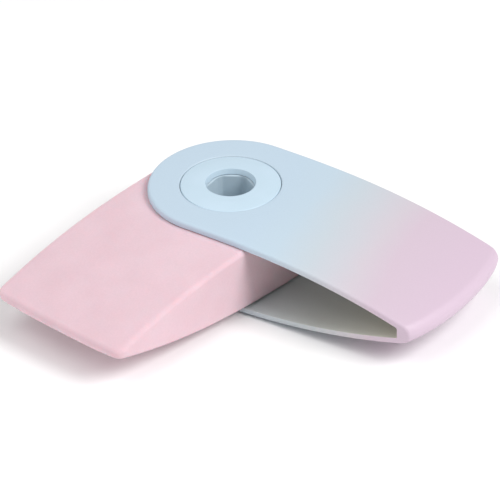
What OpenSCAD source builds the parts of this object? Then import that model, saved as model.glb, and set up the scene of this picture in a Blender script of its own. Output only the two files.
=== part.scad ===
// Swivel eraser in a sleeve: a wedge of soft eraser turns on a hollow two-part hub
// between the two plates of a moulded sleeve. The hub's axis is +Z through the origin,
// half way between the plates, and the sleeve's closed tip points along +X.

/* [Sleeve] */
// Width of the sleeve, and the diameter of its round end
sleeve_w = 25; // [22:0.5:30]
// Distance from the pivot to the closed tip
sleeve_reach = 41.8; // [36:0.1:52]
// Thickness over both plates at the pivot
sleeve_t = 13; // [12:0.25:15]
// Radius of the nose that rounds off the closed tip
tip_nose_r = 1.75; // [1.5:0.05:2.2]
// Height of the flat land left on the tip's nose
tip_land = 0.8; // [0.6:0.1:1.4]
// Depth of the wall that joins the plates at the tip
tip_wall = 2.2; // [1.6:0.1:3]
// Thickness of each plate
plate_t = 1; // [0.8:0.05:1.1]
// Radius of the flat field around the pivot
flat_r = 8.5; // [8:0.1:11]
// Rounding inside the tip, where the plates meet its wall
cavity_edge_r = 0.3; // [0.15:0.05:0.4]
// Rounding along the plates' outer edges
plate_edge_r = 0.45; // [0.2:0.05:0.6]
// Rounding of the closed tip's two corners, seen from above
sleeve_corner_r = 0.8; // [0.7:0.1:2]

/* [Eraser] */
// Gap between the eraser and each plate
plate_gap = 0.15; // [0.1:0.05:0.4]
// How far the eraser's sides stand proud of the sleeve's, for a finger to push
side_proud = 0.3; // [-0.5:0.05:0.4]
// Gap between the eraser's swinging tip corners and the tip wall
tip_gap = 0.2; // [0.15:0.05:1.5]
// Rounding of the tip's two corners, seen from above
tip_corner_r = 1.6; // [1:0.1:3]
// Radius of the tip's slightly bowed edge, seen from above
tip_arc_r = 200; // [80:10:600]
// Half width over which the tip is evenly thick
tip_level_w = 10; // [6:0.5:11]
// Rounding along the eraser's edges
eraser_edge_r = 0.6; // [0.3:0.05:1.2]
// Angle from the sleeve to the eraser as it is shown, 0 when closed
eraser_angle = -99.4; // [-180:0.1:180]

/* [Hub] */
// Radius of the discs that turn in the plates
disc_r = 7.6; // [7:0.05:7.7]
// Running clearance between a disc and its hole in the plate
disc_clearance = 0.08; // [0.04:0.01:0.1]
// Depth of the discs' rims below the plates' faces
disc_recess = 0.05; // [0:0.01:0.15]
// Rise of the upper disc's face from its rim to its eye
disc_crown = 0.3; // [0:0.05:0.4]
// Bevel on the discs and on the holes that they turn in
rim_bevel = 0.2; // [0.1:0.05:0.3]
// Radius of the round eye in each disc
eye_r = 3.6; // [3.4:0.05:3.8]
// Bevel that widens each eye to its rim
eye_bevel = 0.3; // [0.1:0.05:0.4]
// Depth of the collar that the upper eye makes above the plug
collar_depth = 0.9; // [0.7:0.05:1.1]
// Corner radius of the six-sided passage through the hub
passage_r = 3.8; // [3.5:0.05:3.9]
// Wall of the lower hub's plug
plug_wall = 0.9; // [0.8:0.05:1]
// Wall of the upper hub's socket
socket_wall = 0.9; // [0.8:0.05:1]
// Gap between plug and socket, and between socket and eraser
socket_clearance = 0.05; // [0.02:0.01:0.1]
// Gap between the plug's end and the upper disc, and between the socket's end and the lower disc
end_gap = 0.1; // [0.05:0.05:0.3]
// Height of the nubs that snap the plug into the socket
nub_height = 0.5; // [0.3:0.05:0.6]
// Length of each nub along its flat
nub_length = 2.6; // [2:0.1:3]
// Rise of each nub along the hub's axis
nub_rise = 1.4; // [1:0.1:2]
// Gap around a nub in its window
nub_clearance = 0.15; // [0.1:0.05:0.25]

/* [Hidden] */

// Colours of the mouldings and of the eraser
sleeve_colour = "#d3dce9";
eraser_colour = "#eccdd6";
hub_colour = "#cfe4f2";

// Smoothness of true circles
round_fn = 96;
// Steps along the straight sides, each tip corner, the tip's edge, the edge rounding and the faces
side_steps = 12;
corner_steps = 3;
tip_steps = 8;
edge_steps = 4;
face_steps = 6;
// Angle between outline points round the pivot end
round_end_step = 9;
// Largest share of a body's half thickness that its edge rounding takes
edge_share = 0.8;
// Sharpness of the change from the evenly thick middle of the tip to its sides
level_power = 6;
// Share of a nub's height left at its sliding end
nub_lead = 1 / 3;
// Overlap that keeps cuts clear of the faces they pass
cut = 1;

half_w = sleeve_w / 2;
half_t = sleeve_t / 2;

// The arc that thins the plates leaves the flat field smoothly and reaches the tip's nose.
nose_x = sleeve_reach - sqrt(pow(tip_nose_r, 2) - pow(tip_land / 2, 2));
arc_run = nose_x - flat_r;
arc_drop = half_t - tip_nose_r;
arc_r = (arc_run * arc_run + arc_drop * arc_drop) / (2 * arc_drop);
arc_z = half_t - arc_r;

// Half the thickness at radius r from the pivot, for the face that lies a depth inside the sleeve's
function half_height(r, depth) =
    arc_z + sqrt(pow(arc_r - depth, 2) - pow(max(r - flat_r, 0), 2));

// The cavity between the plates, and the eraser inside it
cavity_r = sleeve_reach - tip_wall;
// Run of the cavity past the sleeve's open sides, and the rounding of the cutter's corners out there
side_run = 2;
cavity_corner_r = 1;
eraser_depth = plate_t + plate_gap;
eraser_half_w = half_w + side_proud;
swing_r = cavity_r - tip_gap;

// The hub, from its discs inwards
seat_z = half_t - eraser_depth;
disc_z = half_t - disc_recess;
collar_z = disc_z + disc_crown - collar_depth;
plug_end = collar_z - end_gap;
socket_end = end_gap - seat_z;
hole_r = disc_r + disc_clearance;
flat_to_corner = 1 / cos(30);
plug_r = passage_r + plug_wall * flat_to_corner;
socket_bore_r = plug_r + socket_clearance * flat_to_corner;
socket_r = socket_bore_r + socket_wall * flat_to_corner;
eraser_bore_r = socket_r + socket_clearance * flat_to_corner;
plug_flat = plug_r / flat_to_corner;

// Outline seen from above, as [x, y, direction that faces out]: a tip edge of radius arc,
// two rounded corners that reach swing from the pivot, straight sides and a round pivot end.
function outline(half_width, swing, corner, arc) =
    let (
        cy = half_width - corner,
        cx = sqrt(pow(swing - corner, 2) - cy * cy),
        sweep = asin(cy / (arc - corner)),
        arc_x = cx - (arc - corner) * cos(sweep),
        turn = 90 - sweep
    )
    concat(
        [for (i = [-tip_steps + 1:tip_steps - 1])
            let (a = sweep * i / tip_steps) [arc_x + arc * cos(a), arc * sin(a), a]],
        [for (i = [0:corner_steps])
            let (a = sweep + turn * i / corner_steps) [cx + corner * cos(a), cy + corner * sin(a), a]],
        [for (i = [1:side_steps - 1]) [cx * (1 - i / side_steps), half_width, 90]],
        [for (a = [90:round_end_step:270]) [half_width * cos(a), half_width * sin(a), a]],
        [for (i = [1:side_steps - 1]) [cx * i / side_steps, -half_width, 270]],
        [for (i = [corner_steps:-1:0])
            let (a = -sweep - turn * i / corner_steps) [cx + corner * cos(a), -cy + corner * sin(a), a]]
    );

// Radius that sets the thickness at a point. It is the distance from the pivot, but towards the tip
// it levels off over the given half width, so that the tip is as thick in the middle as at its corners.
function thickness_r(q, level) =
    level == 0 ? norm(q) :
    let (
        share = max(0, min(1, (q.x - flat_r) / (swing_r - flat_r))),
        across = level * share * share * (3 - 2 * share)
    )
    norm([q.x, pow(pow(abs(q.y), level_power) + pow(across, level_power), 1 / level_power)]);

// Edge rounding where the thickness is that of radius r, kept within the body's own thickness
function edge_r_at(r, edge, depth) = min(edge, edge_share * half_height(r, depth));

// One point of the rounded edge: lift is 0 on the side wall and 90 on the face
function edge_point(p, lift, edge, depth, level) =
    let (
        e = edge_r_at(thickness_r([p.x, p.y], level), edge, depth),
        out = [cos(p.z), sin(p.z)],
        foot = [p.x, p.y] - e * out,
        q = foot + e * cos(lift) * out
    )
    [q.x, q.y, half_height(thickness_r(foot, level), depth) - e + e * sin(lift)];

// One point of the face, from the rounded edge (share 1) in to the flat field (share 0)
function face_point(p, share, edge, depth, level) =
    let (
        q = edge_point(p, 90, edge, depth, level),
        far = norm([q.x, q.y]),
        r = flat_r + (far - flat_r) * share,
        at = [q.x * r / far, q.y * r / far]
    )
    [at.x, at.y, half_height(thickness_r(at, level), depth)];

// Thinning body with rounded edges: rings from the flat field out over the edge and back below
module thinning_body(points, edge, depth, level = 0) {
    upper = concat(
        [for (i = [0:face_steps - 1]) [for (p = points) face_point(p, i / face_steps, edge, depth, level)]],
        [for (i = [edge_steps:-1:0]) [for (p = points) edge_point(p, 90 * i / edge_steps, edge, depth, level)]]
    );
    lower = [for (i = [len(upper) - 1:-1:0]) [for (v = upper[i]) [v.x, v.y, -v.z]]];
    rings = concat(upper, lower);
    n = len(points);
    last = len(rings) - 1;
    polyhedron(
        points = [for (ring = rings, v = ring) v],
        faces = concat(
            [[for (i = [n - 1:-1:0]) i]],
            [for (k = [0:last - 1], i = [0:n - 1], half = [0, 1])
                let (a = k * n + i, b = k * n + (i + 1) % n)
                half == 0 ? [a, b, b + n] : [a, b + n, a + n]],
            [[for (i = [0:n - 1]) last * n + i]]
        )
    );
}

// Ring-shaped cutter that rounds the closed tip to its nose, above or below
module nose_cutter() {
    rotate_extrude($fn = round_fn) translate([nose_x, 0]) difference() {
        square([tip_nose_r + cut, half_t]);
        circle(tip_nose_r, $fn = round_fn);
    }
}

// Space between the plates, open past the sides: turned about the pivot, so the eraser swings through it
module cavity() {
    thinning_body(outline(half_w + side_run, cavity_r, cavity_corner_r, cavity_r), cavity_edge_r, plate_t);
}

// Round hole through both plates, bevelled where it meets their faces
module pivot_holes() {
    cylinder(h = sleeve_t + 2 * cut, r = hole_r, center = true, $fn = round_fn);
    for (side = [0, 180])
        rotate([side, 0, 0]) translate([0, 0, half_t - rim_bevel])
            cylinder(h = rim_bevel + cut, r1 = hole_r, r2 = hole_r + rim_bevel + cut, $fn = round_fn);
}

module sleeve() {
    color(sleeve_colour) difference() {
        thinning_body(outline(half_w, sleeve_reach, sleeve_corner_r, sleeve_reach), plate_edge_r, 0);
        cavity();
        pivot_holes();
        nose_cutter();
        mirror([0, 0, 1]) nose_cutter();
    }
}

module eraser_block() {
    color(eraser_colour) rotate([0, 0, eraser_angle]) difference() {
        thinning_body(
            outline(eraser_half_w, swing_r, tip_corner_r, tip_arc_r),
            eraser_edge_r, eraser_depth, tip_level_w
        );
        cylinder(h = 2 * sleeve_t, r = eraser_bore_r, center = true, $fn = 6);
    }
}

// Disc of the hub, seated on the eraser's face: bevelled at its rim, then rising by crown to its eye
module disc(crown) {
    rotate_extrude($fn = round_fn) polygon([
        [0, seat_z], [disc_r, seat_z], [disc_r, disc_z - rim_bevel], [disc_r - rim_bevel, disc_z],
        [eye_r + eye_bevel, disc_z + crown], [0, disc_z + crown]
    ]);
}

// Round eye in a disc, bevelled where it meets the disc's face
module eye(crown) {
    floor_z = disc_z + crown - collar_depth - end_gap;
    translate([0, 0, floor_z]) cylinder(h = sleeve_t, r = eye_r, $fn = round_fn);
    translate([0, 0, disc_z + crown - eye_bevel])
        cylinder(h = eye_bevel + cut, r1 = eye_r, r2 = eye_r + eye_bevel + cut, $fn = round_fn);
}

// Six-sided bar along the axis, with two flats parallel to the eraser's long sides
module six_sided(corner_r, from_z, to_z) {
    translate([0, 0, from_z]) cylinder(h = to_z - from_z, r = corner_r, $fn = 6);
}

// Upper hub: disc with a six-sided socket that goes down through the eraser
module upper_pivot_hub() {
    window = [nub_length + 2 * nub_clearance, 2 * socket_r, nub_rise + 2 * nub_clearance];
    color(hub_colour) rotate([0, 0, eraser_angle]) difference() {
        union() {
            disc(disc_crown);
            six_sided(socket_r, socket_end, collar_z);
        }
        six_sided(socket_bore_r, socket_end - cut, collar_z);
        eye(disc_crown);
        cube(window, center = true);
    }
}

// Wedge-shaped nub on one flat of the plug: it slides in and then holds against its window's edge
module nub() {
    translate([-nub_length / 2, plug_flat, 0]) rotate([90, 0, 90]) linear_extrude(nub_length) polygon([
        [-plug_wall / 2, -nub_rise / 2], [nub_height, -nub_rise / 2],
        [nub_height * nub_lead, nub_rise / 2], [-plug_wall / 2, nub_rise / 2]
    ]);
}

// Lower hub: disc with a six-sided plug that snaps into the upper hub's socket
module lower_pivot_hub() {
    color(hub_colour) rotate([0, 0, eraser_angle]) difference() {
        union() {
            mirror([0, 0, 1]) disc(0);
            six_sided(plug_r, -disc_z + eye_bevel, plug_end);
            nub();
            rotate([0, 0, 180]) nub();
        }
        six_sided(passage_r, -disc_z + collar_depth, sleeve_t);
        mirror([0, 0, 1]) eye(0);
    }
}

sleeve();
eraser_block();
upper_pivot_hub();
lower_pivot_hub();
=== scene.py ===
import math

import bmesh
import bpy
from mathutils import Matrix, Quaternion, Vector


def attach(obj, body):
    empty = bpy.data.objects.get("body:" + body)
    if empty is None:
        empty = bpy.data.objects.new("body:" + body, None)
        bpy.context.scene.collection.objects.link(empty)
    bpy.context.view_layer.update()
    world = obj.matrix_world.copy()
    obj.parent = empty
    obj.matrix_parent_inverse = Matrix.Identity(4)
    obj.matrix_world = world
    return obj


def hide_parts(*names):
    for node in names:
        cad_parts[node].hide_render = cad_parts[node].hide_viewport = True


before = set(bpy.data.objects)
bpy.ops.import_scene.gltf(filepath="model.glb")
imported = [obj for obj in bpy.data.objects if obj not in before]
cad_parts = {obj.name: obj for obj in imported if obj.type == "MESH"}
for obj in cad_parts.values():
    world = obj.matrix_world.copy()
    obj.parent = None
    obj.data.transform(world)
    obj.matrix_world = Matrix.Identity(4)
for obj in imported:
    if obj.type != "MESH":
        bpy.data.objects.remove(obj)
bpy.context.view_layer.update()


# Sleeve: two thin plates joined at a rounded tip, with a round hole in each for the hub.
# It is one ABS moulding, sprayed outside with matt paint that fades from pale blue to lilac,
# and bare pale grey inside. Both plates thin away from the pivot, so the eraser can swing through.
MM = 0.001  # lengths are in millimetres, and this makes metres of them
half_width = 12.5
reach = 41.8
half_thickness = 6.5
plate = 1.0
flat_radius = 8.5
cavity_radius = 39.6
hole_radius = 7.68
outer_edge = 0.45
inner_edge = 0.07
hole_edge = 0.2
cavity_fillet = 0.3
corner_pull = 0.35
corner_start = 37.6
corner_run = 2.3
corner_power = 10
outer_steps = 6
inner_steps = 4
hole_steps = 5
weld = 0.002

# One arc thins both faces: it leaves the flat field smoothly, falls by arc_drop over arc_run,
# and runs into the tip's round nose.
arc_run = 31.596
arc_drop = 4.75
arc_radius = (arc_run ** 2 + arc_drop ** 2) / (2 * arc_drop)
arc_height = half_thickness - arc_radius
nose_run = reach - flat_radius
nose_radius = (arc_radius ** 2 - nose_run ** 2 - arc_height ** 2) / (2 * (arc_radius - nose_run))
nose_x = reach - nose_radius
nose_start = math.atan2(-arc_height, nose_x - flat_radius)


def smooth_step(share):
    """Eases from 0 to 1."""
    share = min(max(share, 0.0), 1.0)
    return share * share * (3 - 2 * share)


def linear(hex_colour):
    """Turns an sRGB hex colour into linear red, green, blue and alpha."""
    channels = [int(hex_colour[i:i + 2], 16) / 255 for i in (1, 3, 5)]
    return [c / 12.92 if c <= 0.04045 else ((c + 0.055) / 1.055) ** 2.4 for c in channels] + [1.0]


def add_node(tree, kind, links=None, **settings):
    """Adds a node, applies its settings, and fills its sockets with values or links."""
    node = tree.nodes.new(kind)
    for name, value in settings.items():
        setattr(node, name, value)
    for socket, value in (links or {}).items():
        if isinstance(value, bpy.types.NodeSocket):
            tree.links.new(value, node.inputs[socket])
        else:
            node.inputs[socket].default_value = value
    return node


def swing_rule():
    """Lifts flat sheets to the height that lets a wedge turn about the pivot, then welds them."""
    tree = bpy.data.node_groups.new("swing_rule", "GeometryNodeTree")
    tree.is_modifier = True
    tree.interface.new_socket("Sheets", in_out="INPUT", socket_type="NodeSocketGeometry")
    for name in ("Flat radius", "Arc radius", "Arc height", "Weld"):
        tree.interface.new_socket(name, in_out="INPUT", socket_type="NodeSocketFloat")
    tree.interface.new_socket("Material", in_out="INPUT", socket_type="NodeSocketMaterial")
    tree.interface.new_socket("Wedge", in_out="OUTPUT", socket_type="NodeSocketGeometry")
    given = add_node(tree, "NodeGroupInput").outputs
    carried = {
        name: add_node(tree, "GeometryNodeInputNamedAttribute", {"Name": name}).outputs["Attribute"]
        for name in ("foot", "depth", "drop", "lift")
    }

    def maths(operation, a, b=0.0):
        return add_node(tree, "ShaderNodeMath", {0: a, 1: b}, operation=operation).outputs[0]

    past_flat = maths("MAXIMUM", maths("SUBTRACT", carried["foot"], given["Flat radius"]), 0.0)
    arc = maths("SUBTRACT", given["Arc radius"], carried["depth"])
    arc_squared = maths("MULTIPLY", arc, arc)
    past_squared = maths("MULTIPLY", past_flat, past_flat)
    rise = maths("SQRT", maths("SUBTRACT", arc_squared, past_squared))
    face = maths("ADD", rise, given["Arc height"])
    height = maths("MULTIPLY", maths("SUBTRACT", face, carried["drop"]), carried["lift"])
    offset = add_node(tree, "ShaderNodeCombineXYZ", {"Z": height})
    lifted = add_node(tree, "GeometryNodeSetPosition", {
        "Geometry": given["Sheets"], "Offset": offset.outputs[0]})
    welded = add_node(tree, "GeometryNodeMergeByDistance", {
        "Geometry": lifted.outputs[0], "Distance": given["Weld"]})
    smooth = add_node(tree, "GeometryNodeSetShadeSmooth", {"Geometry": welded.outputs[0]})
    real = add_node(tree, "GeometryNodeRealizeInstances", {"Geometry": smooth.outputs[0]})
    finished = add_node(tree, "GeometryNodeSetMaterial", {
        "Geometry": real.outputs[0], "Material": given["Material"]})
    add_node(tree, "NodeGroupOutput", {"Wedge": finished.outputs[0]})
    return tree


swing_tree = swing_rule()


def point(x, y, foot, drop=0.0, depth=0.0, lift=1.0, paint=1.0):
    """One point of a flat sheet, with what the swing rule and the paint need to know about it."""
    return {
        "x": x, "y": y, "foot": foot, "drop": drop, "depth": depth, "lift": lift,
        "paint": paint, "paint_below": paint}


def face_outwards(mesh):
    work = bmesh.new()
    work.from_mesh(mesh)
    bmesh.ops.recalc_face_normals(work, faces=work.faces)
    work.to_mesh(mesh)
    work.free()


def swinging_piece(name, sheets, material, turn=0.0):
    """Makes one piece from flat sheets of points, above and below the middle plane."""
    points, faces = [], []
    for side in (1, -1):
        for rows, closed in sheets:
            columns = len(rows[0])
            first = len(points)
            coat = "paint" if side > 0 else "paint_below"
            points += [dict(p, lift=side * p["lift"], paint=p[coat]) for row in rows for p in row]
            for k in range(len(rows) - 1):
                for j in range(columns if closed else columns - 1):
                    a, b = first + k * columns + j, first + k * columns + (j + 1) % columns
                    faces.append((a, b, b + columns, a + columns))
    mesh = bpy.data.meshes.new(name)
    mesh.from_pydata([(p["x"] * MM, p["y"] * MM, 0.0) for p in points], [], faces)
    for key, unit in (("foot", MM), ("drop", MM), ("depth", MM), ("lift", 1.0), ("paint", 1.0)):
        layer = mesh.attributes.new(key, "FLOAT", "POINT")
        layer.data.foreach_set("value", [p[key] * unit for p in points])
    piece = bpy.data.objects.new(name, mesh)
    bpy.context.scene.collection.objects.link(piece)
    modifier = piece.modifiers.new("swing_rule", "NODES")
    modifier.node_group = swing_tree
    given = {
        "Flat radius": flat_radius * MM, "Arc radius": arc_radius * MM,
        "Arc height": arc_height * MM, "Weld": weld * MM, "Material": material,
    }
    for item in swing_tree.interface.items_tree:
        if item.in_out == "INPUT" and item.name in given:
            modifier[item.identifier] = given[item.name]
    evaluated = piece.evaluated_get(bpy.context.evaluated_depsgraph_get())
    piece.data = bpy.data.meshes.new_from_object(evaluated)
    piece.modifiers.clear()
    piece.data.transform(Matrix.Rotation(turn, 4, "Z"))
    face_outwards(piece.data)
    return piece


def shares(count, rim=0.015):
    """Even steps from 0 to 1, with one extra close to each end to keep the shading crisp there."""
    return [0.0, rim] + [i / count for i in range(1, count)] + [1.0 - rim, 1.0]


def plate_outline(tip_radius, inset, side_count=40, round_count=60, tip_count=36):
    """Plan of a plate as (x, y, way out): tip, far side, round end and near side."""
    side = half_width - inset
    corner_x = math.sqrt(tip_radius ** 2 - side ** 2)
    tip = [side * (2 * i / tip_count - 1) for i in range(tip_count + 1)]
    stations = [(math.sqrt(tip_radius ** 2 - y * y), y, (0, math.copysign(1, y))) for y in tip]
    stations += [(corner_x * (1 - i / side_count), side, (0, 1)) for i in range(1, side_count)]
    for i in range(round_count + 1):
        a = math.pi * (0.5 + i / round_count)
        stations.append((side * math.cos(a), side * math.sin(a), (math.cos(a), math.sin(a))))
    stations += [(corner_x * i / side_count, -side, (0, -1)) for i in range(1, side_count)]
    return stations, tip_count


def face_rings(stations, start_radius, depth, paint, count=22):
    """Rings of a thinning face, along the rays from a hole round the pivot to its outline."""
    rings = []
    for share in shares(count):
        ring = []
        for x, y, _ in stations:
            far = math.hypot(x, y)
            r = start_radius + (far - start_radius) * share
            ring.append(point(x * r / far, y * r / far, r, depth=depth, paint=paint))
        rings.append(ring)
    return rings


def rounding(x, y, foot, drop, depth, normal, way_out, edge, steps, paint):
    """Round from a face, whose normal is (radial, up), over to the side that faces way_out."""
    far = math.hypot(x, y)
    n = Vector((way_out[0], way_out[1], 0.0))
    face = Vector((normal[0] * x / far, normal[0] * y / far, normal[1]))
    up = (face - face.dot(n) * n).normalized()
    start = math.atan2(face.dot(up), face.dot(n))
    rows = []
    for i in range(steps + 1):
        a = start * (1 - i / steps)
        shift = edge * ((math.cos(a) - math.cos(start)) * n + (math.sin(a) - math.sin(start)) * up)
        px, py = x + shift.x, y + shift.y
        rows.append(point(px, py, foot, drop - shift.z, depth, paint=paint(i / steps)))
    return rows


def face_tilt(foot, depth):
    """Slope of a thinning face, that far from the pivot and that deep under the outer face."""
    return math.asin(max(foot - flat_radius, 0.0) / (arc_radius - depth))


def quarter_turn(steps):
    """Even angles from 0 to 90 degrees."""
    return [math.pi / 2 * i / steps for i in range(steps + 1)]


# Little spray reached the lower plate's side edge, except near the tip.
spray_start = 16.0
spray_run = 20.0
least_spray = 0.3


def sleeve_sheets():
    """Half of the sleeve as flat sheets: both faces, nose, end wall, hole's wall and side edge."""
    nose_rows = 14
    tip_r = nose_x + nose_radius * math.cos(nose_start)
    outer, tip_count = plate_outline(tip_r, outer_edge)
    fillet_r = cavity_radius - cavity_fillet
    fillet_arc = arc_radius - plate - cavity_fillet
    fillet_z = arc_height + math.sqrt(fillet_arc ** 2 - (fillet_r - flat_radius) ** 2)
    fillet_start = math.atan2(fillet_z - arc_height, fillet_r - flat_radius)
    wall_r = fillet_r + cavity_fillet * math.cos(fillet_start)
    inner, _ = plate_outline(wall_r, inner_edge)

    # The nose outside and the end wall inside, from the plate down to the middle plane
    nose, wall = [], []
    for i in range(nose_rows + 1):
        a = nose_start * (1 - i / nose_rows)
        drop = nose_radius * (math.sin(nose_start) - math.sin(a))
        nose.append((nose_x + nose_radius * math.cos(a), drop, (math.cos(a), math.sin(a))))
    top = fillet_z + cavity_fillet * math.sin(fillet_start)
    fillet_rows = nose_rows // 2
    straight_rows = nose_rows - fillet_rows
    for i in range(fillet_rows + 1):
        a = fillet_start * (1 - i / fillet_rows)
        drop = top - fillet_z - cavity_fillet * math.sin(a)
        wall.append((fillet_r + cavity_fillet * math.cos(a), drop, (-math.cos(a), -math.sin(a))))
    for i in range(1, straight_rows + 1):
        wall.append((cavity_radius, top - fillet_z * (1 - i / straight_rows), (-1.0, 0.0)))

    def tip_row(r, foot, drop, depth, stations, paint):
        return [point(math.sqrt(r * r - y * y), y, foot, drop, depth, paint=paint)
                for _, y, _ in stations[:tip_count + 1]]

    outer_face = face_rings(outer, hole_radius + hole_edge, 0.0, 1.0)
    inner_face = face_rings(inner, hole_radius + inner_edge, plate, 0.0)
    sheets = [(outer_face, True), (inner_face, True)]
    sheets.append(([tip_row(r, tip_r, drop, 0.0, outer, 1.0) for r, drop, _ in nose], False))
    sheets.append(([tip_row(r, wall_r, drop, plate, inner, 0.0) for r, drop, _ in wall], False))

    # The hole's wall, rounded at both faces
    hole = [(hole_edge * (1 - math.sin(a)), hole_edge * (1 - math.cos(a)))
            for a in quarter_turn(hole_steps)]
    hole += [(inner_edge * (1 - math.cos(a)), plate - inner_edge * (1 - math.sin(a)))
             for a in quarter_turn(inner_steps)]
    rows = []
    for m, (out, drop) in enumerate(hole):
        share = m / (len(hole) - 1)
        ring = []
        for p, q in zip(outer_face[0], inner_face[0]):
            start, end = math.atan2(p["y"], p["x"]), math.atan2(q["y"], q["x"])
            a = start + math.remainder(end - start, math.tau) * share
            r = hole_radius + out
            ring.append(point(r * math.cos(a), r * math.sin(a), r, drop, paint=1 - share))
        rows.append(ring)
    sheets.append((rows, True))

    # The side edge, from the middle of the nose along one side, round the pivot and back
    def edge_stations(stations, tip, foot_r, depth, facing):
        near_y, far_y = stations[0][1], stations[tip_count][1]
        path = []
        for r, drop, normal in reversed(tip):
            x = math.sqrt(r * r - near_y ** 2)
            path.append((x, near_y, foot_r, drop, depth, normal, (0, -1)))
        for x, y, way_out in reversed(stations[tip_count + 1:]):
            r = math.hypot(x, y)
            tilt = face_tilt(r, depth)
            normal = (facing * math.sin(tilt), facing * math.cos(tilt))
            path.append((x, y, r, 0.0, depth, normal, way_out))
        for r, drop, normal in tip:
            x = math.sqrt(r * r - far_y ** 2)
            path.append((x, far_y, foot_r, drop, depth, normal, (0, 1)))
        return path

    outer_path = edge_stations(outer, nose, tip_r, 0.0, 1)
    inner_path = edge_stations(inner, wall, wall_r, plate, -1)
    columns = []
    for outside, inside in zip(outer_path, inner_path):
        over = rounding(*outside, outer_edge, outer_steps, lambda share: 1.0)
        under = rounding(*inside, inner_edge, inner_steps, lambda share: share)
        columns.append(over + under[::-1])
    for p in [p for column in columns for p in column]:
        near_tip = min(max((p["x"] - spray_start) / spray_run, 0.0), 1.0)
        p["paint_below"] = p["paint"] * (least_spray + (1 - least_spray) * near_tip)
    sheets.append(([list(row) for row in zip(*columns)], False))

    # The tip's corners are drawn back in plan, so they are rounder than the swing's own arc.
    for p in [p for rows, _ in sheets for row in rows for p in row]:
        near_side = (abs(p["y"]) / half_width) ** corner_power
        p["x"] -= corner_pull * near_side * smooth_step((p["x"] - corner_start) / corner_run)
    return sheets


# The fade's colours, by the distance in millimetres from the pivot. The spray gun stood a little
# askew, so the distance is taken along a line that is turned from the sleeve's own length.
fade_turn = math.radians(-11.0)
fade_colours = (
    (8.0, "#c1d4e3"), (13.0, "#c2d4e1"), (18.5, "#c6d0d8"), (22.5, "#cbccd4"),
    (26.0, "#d0c7d0"), (30.0, "#d2bfcd"), (38.0, "#d3bdce"))


def new_material(name):
    """Starts a material, and gives it with its node tree, its shader and its Object coordinates."""
    material = bpy.data.materials.new(name)
    material.use_nodes = True
    tree = material.node_tree
    place = add_node(tree, "ShaderNodeTexCoord").outputs["Object"]
    return material, tree, tree.nodes["Principled BSDF"], place


def dress(tree, shader, colour, roughness, relief):
    """Links a surface's colour, roughness and bump to its shader."""
    tree.links.new(colour, shader.inputs["Base Color"])
    tree.links.new(roughness, shader.inputs["Roughness"])
    tree.links.new(relief, shader.inputs["Normal"])


def matt_paint():
    """Soft matt spray paint on ABS: an even, slightly chalky skin with a fine orange peel.

    The fade runs along the sleeve, and the bare grey moulding shows where no paint reached.
    """
    material, tree, shader, place = new_material("abs_soft_matt_paint_fade")
    turned = add_node(tree, "ShaderNodeMapping", {"Vector": place, "Rotation": (0.0, 0.0, fade_turn)})
    along = add_node(tree, "ShaderNodeSeparateXYZ", {0: turned.outputs["Vector"]}).outputs["X"]
    # Cloudy spray passes about 9 mm wide shift the fade a little.
    cloud = add_node(tree, "ShaderNodeTexNoise", {
        "Vector": place, "Scale": 1 / (9 * MM), "Detail": 2.0})
    shift = add_node(tree, "ShaderNodeMapRange", {
        "Value": cloud.outputs["Fac"], "From Min": 0.3, "From Max": 0.7,
        "To Min": -0.5 * MM, "To Max": 0.5 * MM})
    where = add_node(tree, "ShaderNodeMath", {0: along, 1: shift.outputs[0]}, operation="ADD")
    fade_start, fade_end = fade_colours[0][0], fade_colours[-1][0]
    fade = add_node(tree, "ShaderNodeMapRange", {
        "Value": where.outputs[0], "From Min": fade_start * MM, "From Max": fade_end * MM})
    ramp = add_node(tree, "ShaderNodeValToRGB", {"Fac": fade.outputs[0]})
    while len(ramp.color_ramp.elements) < len(fade_colours):
        ramp.color_ramp.elements.new(0.5)
    for element, (distance, colour) in zip(ramp.color_ramp.elements, fade_colours):
        element.position = (distance - fade_start) / (fade_end - fade_start)
        element.color = linear(colour)
    # The bare grey inside is cool up to 10 mm from the pivot and turns warm by 36 mm.
    inwards = add_node(tree, "ShaderNodeMapRange", {
        "Value": along, "From Min": 10 * MM, "From Max": 36 * MM})
    bare = add_node(tree, "ShaderNodeMix", {
        "Factor": inwards.outputs[0], "A": linear("#bfc8c9"), "B": linear("#ccc8bb"),
    }, data_type="RGBA")
    paint = add_node(tree, "ShaderNodeAttribute", attribute_name="paint").outputs["Fac"]
    skin = add_node(tree, "ShaderNodeMix", {
        "Factor": paint, "A": bare.outputs["Result"], "B": ramp.outputs["Color"],
    }, data_type="RGBA")
    # Paint grain is about 0.05 mm; it is drawn at 0.22 mm so that it shows.
    grain = add_node(tree, "ShaderNodeTexNoise", {
        "Vector": place, "Scale": 1 / (0.22 * MM), "Detail": 3.0})
    bright = add_node(tree, "ShaderNodeMapRange", {
        "Value": grain.outputs["Fac"], "From Min": 0.25, "From Max": 0.75,
        "To Min": 0.985, "To Max": 1.015})
    colour = add_node(tree, "ShaderNodeHueSaturation", {
        "Color": skin.outputs["Result"], "Value": bright.outputs[0]})
    rough = add_node(tree, "ShaderNodeMapRange", {
        "Value": cloud.outputs["Fac"], "From Min": 0.3, "From Max": 0.7,
        "To Min": 0.46, "To Max": 0.54})
    relief = add_node(tree, "ShaderNodeBump", {
        "Height": grain.outputs["Fac"], "Strength": 0.12, "Distance": 0.02 * MM})
    dress(tree, shader, colour.outputs["Color"], rough.outputs[0], relief.outputs["Normal"])
    shader.inputs["IOR"].default_value = 1.48
    return material


sleeve = swinging_piece("swivel_sleeve", sleeve_sheets(), matt_paint())
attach(sleeve, "sleeve")
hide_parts("sleeve")


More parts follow.
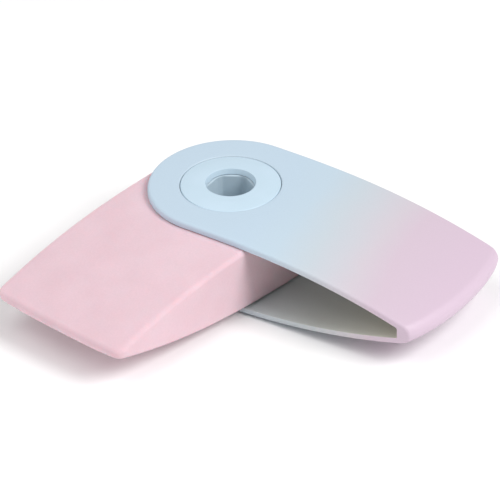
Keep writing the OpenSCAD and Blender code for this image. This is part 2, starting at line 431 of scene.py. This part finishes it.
# Eraser: a wedge of soft pink vinyl that fills the sleeve when closed and swings out for use.
# It is cut from a moulded slab, with worn-soft edges, and a six-sided hole takes the hub.
eraser_depth = 1.15
eraser_half_width = 12.8
eraser_swing = 39.4
eraser_corner = 1.6
eraser_tip_arc = 200.0
eraser_level = 10.0
eraser_level_power = 6
eraser_side_edge = 0.75
eraser_tip_edge = 0.85
eraser_edge_end = 35.0
eraser_edge_run = 15.0
eraser_turn = math.radians(-99.4)
eraser_bore_flat = 5.19
eraser_bore_corner = 0.4


def hexagon_radius(angle, flat, corner):
    """Distance from the axis to a six-sided wall with rounded corners; one flat faces +Y."""
    off_flat = math.remainder(angle - math.pi / 2, math.pi / 3)
    straight = math.atan((flat - corner) * math.tan(math.pi / 6) / flat)
    if abs(off_flat) <= straight:
        return flat / math.cos(off_flat)
    centre = (flat - corner) / math.cos(math.pi / 6)
    off_corner = math.pi / 6 - abs(off_flat)
    aside = centre * math.sin(off_corner)
    return centre * math.cos(off_corner) + math.sqrt(corner ** 2 - aside ** 2)


def eraser_outline(side_count=44, round_count=60, tip_count=40, corner_count=8):
    """Plan of the eraser as (x, y, angle it faces): tip, far side, round end and near side."""
    side = eraser_half_width
    corner_y = eraser_half_width - eraser_corner
    corner_x = math.sqrt((eraser_swing - eraser_corner) ** 2 - corner_y * corner_y)
    sweep = math.asin(corner_y / (eraser_tip_arc - eraser_corner))
    arc_x = corner_x - (eraser_tip_arc - eraser_corner) * math.cos(sweep)
    stations = []
    for i in range(1, tip_count):
        a = sweep * (2 * i / tip_count - 1)
        stations.append((arc_x + eraser_tip_arc * math.cos(a), eraser_tip_arc * math.sin(a), a))
    for i in range(corner_count + 1):
        a = sweep + (math.pi / 2 - sweep) * i / corner_count
        x, y = corner_x + eraser_corner * math.cos(a), corner_y + eraser_corner * math.sin(a)
        stations.append((x, y, a))
    stations += [(corner_x * (1 - i / side_count), side, math.pi / 2) for i in range(1, side_count)]
    for i in range(round_count + 1):
        a = math.pi * (0.5 + i / round_count)
        stations.append((side * math.cos(a), side * math.sin(a), a))
    stations += [(corner_x * i / side_count, -side, -math.pi / 2) for i in range(1, side_count)]
    for i in range(corner_count, -1, -1):
        a = -sweep - (math.pi / 2 - sweep) * i / corner_count
        x, y = corner_x + eraser_corner * math.cos(a), -corner_y + eraser_corner * math.sin(a)
        stations.append((x, y, a))
    return stations


def eraser_foot(x, y):
    """Distance that sets the thickness: it levels off across the tip, which is evenly thick."""
    share = (x - flat_radius) / (eraser_swing - flat_radius)
    level = eraser_level * smooth_step(share)
    power = eraser_level_power
    return math.hypot(x, (abs(y) ** power + level ** power) ** (1 / power))


def eraser_sheets():
    """Half of the eraser as one closed sheet: hole, face, rounded edge and side."""
    edge_steps, face_steps = 8, 24
    columns = []
    for x, y, a in eraser_outline():
        out = (math.cos(a), math.sin(a))
        far = math.hypot(x, y)
        tilt = face_tilt(far, eraser_depth)
        blend = smooth_step((eraser_edge_end - x) / eraser_edge_run)
        edge = eraser_tip_edge + (eraser_side_edge - eraser_tip_edge) * blend
        inset = edge * (1 - math.sin(tilt) * (x * out[0] + y * out[1]) / far)
        fx, fy = x - inset * out[0], y - inset * out[1]
        rim = math.hypot(fx, fy)
        foot = eraser_foot(fx, fy)
        tilt = face_tilt(foot, eraser_depth)
        normal = (math.sin(tilt), math.cos(tilt))
        angle = math.atan2(fy, fx)
        bore = hexagon_radius(angle, eraser_bore_flat, eraser_bore_corner)
        bx, by = bore * math.cos(angle), bore * math.sin(angle)
        column = [point(bx, by, bore, depth=eraser_depth, lift=lift) for lift in (0.0, 1.0)]
        for share in shares(face_steps)[1:-1]:
            r = bore + (rim - bore) * share
            px, py = r * math.cos(angle), r * math.sin(angle)
            column.append(point(px, py, eraser_foot(px, py), depth=eraser_depth))
        column += rounding(
            fx, fy, foot, 0.0, eraser_depth, normal, out, edge, edge_steps, lambda share: 1.0)
        column.append(dict(column[-1], lift=0.0))
        columns.append(column)
    return [([list(row) for row in zip(*columns)], True)]


def cloudy_tint(tree, cloud, darker, lighter):
    """Mixes two close tints by a cloudy pattern."""
    tint = add_node(tree, "ShaderNodeValToRGB", {"Fac": cloud})
    for element, position, colour in zip(tint.color_ramp.elements, (0.3, 0.7), (darker, lighter)):
        element.position = position
        element.color = linear(colour)
    return tint.outputs["Color"]


def pink_vinyl():
    """Soft eraser vinyl: dull, a little powdery, with a fine rubbed grain and faint cloudy tint."""
    material, tree, shader, place = new_material("soft_vinyl_eraser_pink")
    # Filler clouds about 6 mm wide, and a grain of 0.1 mm that is drawn at 0.3 mm so that it shows
    cloud = add_node(tree, "ShaderNodeTexNoise", {
        "Vector": place, "Scale": 1 / (6 * MM), "Detail": 3.0})
    grain = add_node(tree, "ShaderNodeTexNoise", {
        "Vector": place, "Scale": 1 / (0.3 * MM), "Detail": 4.0})
    tint = cloudy_tint(tree, cloud.outputs["Fac"], "#dfc0c9", "#e3c6cf")
    bright = add_node(tree, "ShaderNodeMapRange", {
        "Value": grain.outputs["Fac"], "From Min": 0.25, "From Max": 0.75,
        "To Min": 0.97, "To Max": 1.03})
    colour = add_node(tree, "ShaderNodeHueSaturation", {"Color": tint, "Value": bright.outputs[0]})
    rough = add_node(tree, "ShaderNodeMapRange", {
        "Value": grain.outputs["Fac"], "From Min": 0.25, "From Max": 0.75,
        "To Min": 0.72, "To Max": 0.85})
    relief = add_node(tree, "ShaderNodeBump", {
        "Height": grain.outputs["Fac"], "Strength": 0.25, "Distance": 0.03 * MM})
    dress(tree, shader, colour.outputs["Color"], rough.outputs[0], relief.outputs["Normal"])
    shader.inputs["IOR"].default_value = 1.52
    shader.inputs["Subsurface Weight"].default_value = 0.5
    shader.inputs["Subsurface Radius"].default_value = (1.0, 0.35, 0.4)
    shader.inputs["Subsurface Scale"].default_value = 1.2 * MM
    return material


eraser = swinging_piece("eraser_wedge", eraser_sheets(), pink_vinyl(), eraser_turn)
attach(eraser, "eraser")
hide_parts("eraser_block")


# Pivot hub: two ABS mouldings that snap together through the eraser and hold it in the sleeve.
# The upper one is a domed disc with a round eye and a six-sided socket below it. The lower one is
# a flat disc with a six-sided plug, whose two nubs catch in windows in the socket.
disc_radius = 7.6
disc_top = 6.45
disc_crown = 0.3
rim_edge = 0.2
seat = 5.35
seat_bevel = 0.1
eye_radius = 3.6
eye_taper = 0.2
eye_edge = 0.1
taper_angle = 14
collar_depth = 0.9
collar_bevel = 0.04
passage_flat = 3.29
passage_round = 3.57
passage_turn = math.radians(10)
plug_flat = 4.19
plug_bevel = 0.08
plug_lead = 0.2
lead_steps = 6
socket_bore_flat = 4.24
socket_flat = 5.14
socket_bevel = 0.1
end_gap = 0.1
hub_corner = 0.35
hub_columns = 192
sharp_angle = math.radians(40)
window_half_rise = 0.85
snap_half_columns = 9
nub_height = 0.5
nub_slip = 1 / 3
nub_half_rise = 0.7


def column_angles(turn=0.0):
    """Angles of the hub's columns of points, seen from a frame that is turned."""
    return [math.tau * j / hub_columns - turn for j in range(hub_columns)]


def round_ring(radius, z):
    return [(radius, z)] * hub_columns


def six_sided_ring(flat, z):
    return [(hexagon_radius(a, flat, hub_corner), z) for a in column_angles()]


def passage_ring(lead, z):
    """Six flats in a round bore, turned a little from the plug's own sides."""
    flats = [hexagon_radius(a, passage_flat, hub_corner) for a in column_angles(passage_turn)]
    return [(min(r, passage_round) + lead, z) for r in flats]


def hub_mesh(name, rings, windows, nubs):
    """Closes rings of (radius, height) into one skin, opens its windows, and raises its nubs.

    A window or nub is (ring, first column, last column); windows come as outer and inner wall in turn.
    """
    work = bmesh.new()
    grid = []
    for ring in rings:
        row = []
        for a, (r, z) in zip(column_angles(), ring):
            row.append(work.verts.new((r * math.cos(a) * MM, r * math.sin(a) * MM, z * MM)))
        grid.append(row)
    open_walls = {(k, j) for k, start, end in windows + nubs for j in range(start, end)}
    for k in range(len(grid)):
        for j in range(hub_columns):
            if (k, j) not in open_walls:
                upper, lower = grid[k], grid[(k + 1) % len(grid)]
                i = (j + 1) % hub_columns
                work.faces.new((upper[j], upper[i], lower[i], lower[j]))
    # Each window's frame joins the outer wall's opening to the inner wall's.
    for (k, start, end), (m, _, _) in zip(windows[::2], windows[1::2]):
        for j in range(start, end):
            work.faces.new((grid[k][j], grid[k][j + 1], grid[m + 1][j + 1], grid[m + 1][j]))
            work.faces.new((grid[k + 1][j], grid[k + 1][j + 1], grid[m][j + 1], grid[m][j]))
        for j in (start, end):
            work.faces.new((grid[k][j], grid[k + 1][j], grid[m][j], grid[m + 1][j]))
    # A nub stands out from its flat, high at the edge that catches and low where it slips in.
    for k, start, end in nubs:
        foot, far_foot = (grid[m][start:end + 1] for m in (k, k + 1))
        out = Vector((0.0, math.copysign(nub_height * MM, foot[0].co.y), 0.0))
        catch = [work.verts.new(v.co + out) for v in foot]
        slip = [work.verts.new(v.co + out * nub_slip) for v in far_foot]
        skin = (foot, catch, slip, far_foot)
        for near, far in zip(skin, skin[1:]):
            for j in range(end - start):
                work.faces.new((near[j], near[j + 1], far[j + 1], far[j]))
        for j in (0, -1):
            work.faces.new([row[j] for row in skin])
    bmesh.ops.rotate(work, verts=work.verts, matrix=Matrix.Rotation(eraser_turn, 3, "Z"))
    bmesh.ops.recalc_face_normals(work, faces=work.faces)
    for face in work.faces:
        face.smooth = True
    mesh = bpy.data.meshes.new(name)
    work.to_mesh(mesh)
    work.free()
    mesh.set_sharp_from_angle(angle=sharp_angle)
    piece = bpy.data.objects.new(name, mesh)
    bpy.context.scene.collection.objects.link(piece)
    return piece


def quarter(radius, centre_r, centre_z, start, end, steps=6):
    """Rings of a rounded edge, from one angle of its section to another, in degrees."""
    angles = [math.radians(start + (end - start) * i / steps) for i in range(steps + 1)]
    return [round_ring(centre_r + radius * math.cos(a), centre_z + radius * math.sin(a))
            for a in angles]


def disc_rings(crown):
    """The disc's eye, face and rim, from the foot of the eye's collar out to the seat."""
    top = disc_top + crown
    foot = top - collar_depth
    eye_rim = eye_radius + eye_taper + eye_edge
    face_end = disc_radius - rim_edge
    rings = [round_ring(eye_radius + collar_bevel, foot), round_ring(eye_radius, foot + collar_bevel)]
    rings += quarter(eye_edge, eye_rim, top - eye_edge, 180 - taper_angle, 90)
    for share in shares(count=10, rim=0.03)[1:-1]:
        radius = eye_rim + (face_end - eye_rim) * share
        rings.append(round_ring(radius, disc_top + crown * (1 - share ** 2)))
    rings += quarter(rim_edge, face_end, disc_top - rim_edge, 90, 0)
    rings += [round_ring(disc_radius, seat + seat_bevel), round_ring(disc_radius - seat_bevel, seat)]
    return rings


def moulded_abs(name, darker, lighter):
    """Moulded ABS coloured in the mass: smooth and satin, with a faint mould texture."""
    material, tree, shader, place = new_material(name)
    # Spark-eroded mould texture is about 0.06 mm; it is drawn at 0.2 mm so that it shows.
    texture = add_node(tree, "ShaderNodeTexNoise", {
        "Vector": place, "Scale": 1 / (0.2 * MM), "Detail": 3.0})
    # Flow marks in the colour are about 5 mm wide.
    flow = add_node(tree, "ShaderNodeTexNoise", {
        "Vector": place, "Scale": 1 / (5 * MM), "Detail": 2.0})
    tint = cloudy_tint(tree, flow.outputs["Fac"], darker, lighter)
    rough = add_node(tree, "ShaderNodeMapRange", {
        "Value": texture.outputs["Fac"], "From Min": 0.25, "From Max": 0.75,
        "To Min": 0.4, "To Max": 0.5})
    relief = add_node(tree, "ShaderNodeBump", {
        "Height": texture.outputs["Fac"], "Strength": 0.1, "Distance": 0.015 * MM})
    dress(tree, shader, tint, rough.outputs[0], relief.outputs["Normal"])
    shader.inputs["IOR"].default_value = 1.53
    return material


upper_rings = disc_rings(disc_crown)
socket_top = len(upper_rings)
socket_end = -seat + end_gap
socket_levels = (seat, window_half_rise, -window_half_rise, socket_end + socket_bevel)
upper_rings += [six_sided_ring(socket_flat, z) for z in socket_levels]
upper_rings += [six_sided_ring(socket_flat - socket_bevel, socket_end)]
socket_foot = len(upper_rings)
collar_foot = disc_top + disc_crown - collar_depth
bore_levels = (socket_end, -window_half_rise, window_half_rise, collar_foot)
upper_rings += [six_sided_ring(socket_bore_flat, z) for z in bore_levels]
snap_spans = [(middle - snap_half_columns, middle + snap_half_columns)
              for middle in (hub_columns // 4, 3 * hub_columns // 4)]
socket_windows = [(k, *span) for span in snap_spans for k in (socket_top + 1, socket_foot + 1)]
upper_hub = hub_mesh("hub_upper_half", upper_rings, socket_windows, [])

lower_rings = [[(r, -z) for r, z in ring] for ring in disc_rings(0.0)]
plug_end = collar_foot - end_gap
nub_foot = len(lower_rings) + 1
plug_levels = (-seat, -nub_half_rise, nub_half_rise, plug_end - plug_bevel)
lower_rings += [six_sided_ring(plug_flat, z) for z in plug_levels]
lower_rings += [six_sided_ring(plug_flat - plug_bevel, plug_end)]
for angle in quarter_turn(lead_steps):
    lead = plug_lead * (1 - math.sin(angle))
    lower_rings.append(passage_ring(lead, plug_end - plug_lead * (1 - math.cos(angle))))
lower_rings += [passage_ring(0.0, collar_depth - disc_top)]
lower_hub = hub_mesh("hub_lower_half", lower_rings, [], [(nub_foot, *span) for span in snap_spans])
upper_hub.data.materials.append(moulded_abs("abs_moulded_pale_blue", "#c5dbe9", "#c9deed"))
# The lower half takes a darker, greyer copy of the upper half's blue: painted shade for the passage
# walls seen down the eye.
lower_hub.data.materials.append(moulded_abs("abs_moulded_blue_painted_shade", "#b7c9d4", "#bbcdd8"))
for piece, node_name in ((upper_hub, "upper_pivot_hub"), (lower_hub, "lower_pivot_hub")):
    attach(piece, "eraser")
    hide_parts(node_name)


# Studio: a pale seamless floor just under the sleeve, an even white room, and three soft lights.
# One stands at the sleeve's tip, one hangs overhead in front, and a low one fills the eraser's end.
floor_half = 3.0
floor_gap = 0.02
floor_z = -(half_thickness + floor_gap) * MM
floor_mesh = bpy.data.meshes.new("floor")
floor_mesh.from_pydata(
    [(x * floor_half, y * floor_half, floor_z) for x, y in ((-1, -1), (1, -1), (1, 1), (-1, 1))],
    [], [(0, 1, 2, 3)])
floor = bpy.data.objects.new("floor", floor_mesh)
bpy.context.scene.collection.objects.link(floor)
floor_paper = bpy.data.materials.new("white_paper_floor")
floor_paper.use_nodes = True
paper_shader = floor_paper.node_tree.nodes["Principled BSDF"]
paper_shader.inputs["Base Color"].default_value = linear("#fefefe")
paper_shader.inputs["Roughness"].default_value = 0.9
floor_mesh.materials.append(floor_paper)

room = bpy.data.worlds.new("white_room")
room.use_nodes = True
room_light = room.node_tree.nodes["Background"]
room_light.inputs["Color"].default_value = linear("#ffffff")
room_light.inputs["Strength"].default_value = 0.36
bpy.context.scene.world = room
bpy.context.scene.view_settings.view_transform = "Standard"


def direction(azimuth, elevation):
    """Unit vector at an azimuth, from -Y towards +X, and an elevation, both in degrees."""
    a, e = math.radians(azimuth), math.radians(elevation)
    return Vector((math.sin(a) * math.cos(e), -math.cos(a) * math.cos(e), math.sin(e)))


# Camera: a long lens, placed and turned as the photograph was taken
view_target = Vector((6.925, -5.4125, 0.0)) * MM
view_distance = 1.0738
view_roll = math.radians(-1.69)
back = direction(azimuth=34.70, elevation=33.55)
camera_data = bpy.data.cameras.new("camera")
camera_data.sensor_width = 36.0
camera_data.lens = 516.9
camera = bpy.data.objects.new("camera", camera_data)
camera.location = view_target + back * view_distance
camera.rotation_mode = "QUATERNION"
camera.rotation_quaternion = back.to_track_quat("Z", "Y") @ Quaternion((0.0, 0.0, 1.0), view_roll)
bpy.context.scene.collection.objects.link(camera)
bpy.context.scene.camera = camera


def soft_light(name, azimuth, elevation, distance, size, power):
    """A round soft light that looks at the part; sizes in metres, power in watts."""
    lamp = bpy.data.lights.new(name, "AREA")
    lamp.shape = "DISK"
    lamp.size = size
    lamp.energy = power
    light = bpy.data.objects.new(name, lamp)
    way = direction(azimuth, elevation)
    light.location = view_target + way * distance
    light.rotation_mode = "QUATERNION"
    light.rotation_quaternion = way.to_track_quat("Z", "Y")
    bpy.context.scene.collection.objects.link(light)


soft_light("side_softbox", azimuth=95.0, elevation=47.0, distance=0.8, size=0.42, power=4.55)
soft_light("overhead_softbox", azimuth=-20.0, elevation=66.0, distance=1.0, size=0.7, power=2.6)
soft_light("left_softbox", azimuth=-60.0, elevation=15.0, distance=0.8, size=0.4, power=1.3)
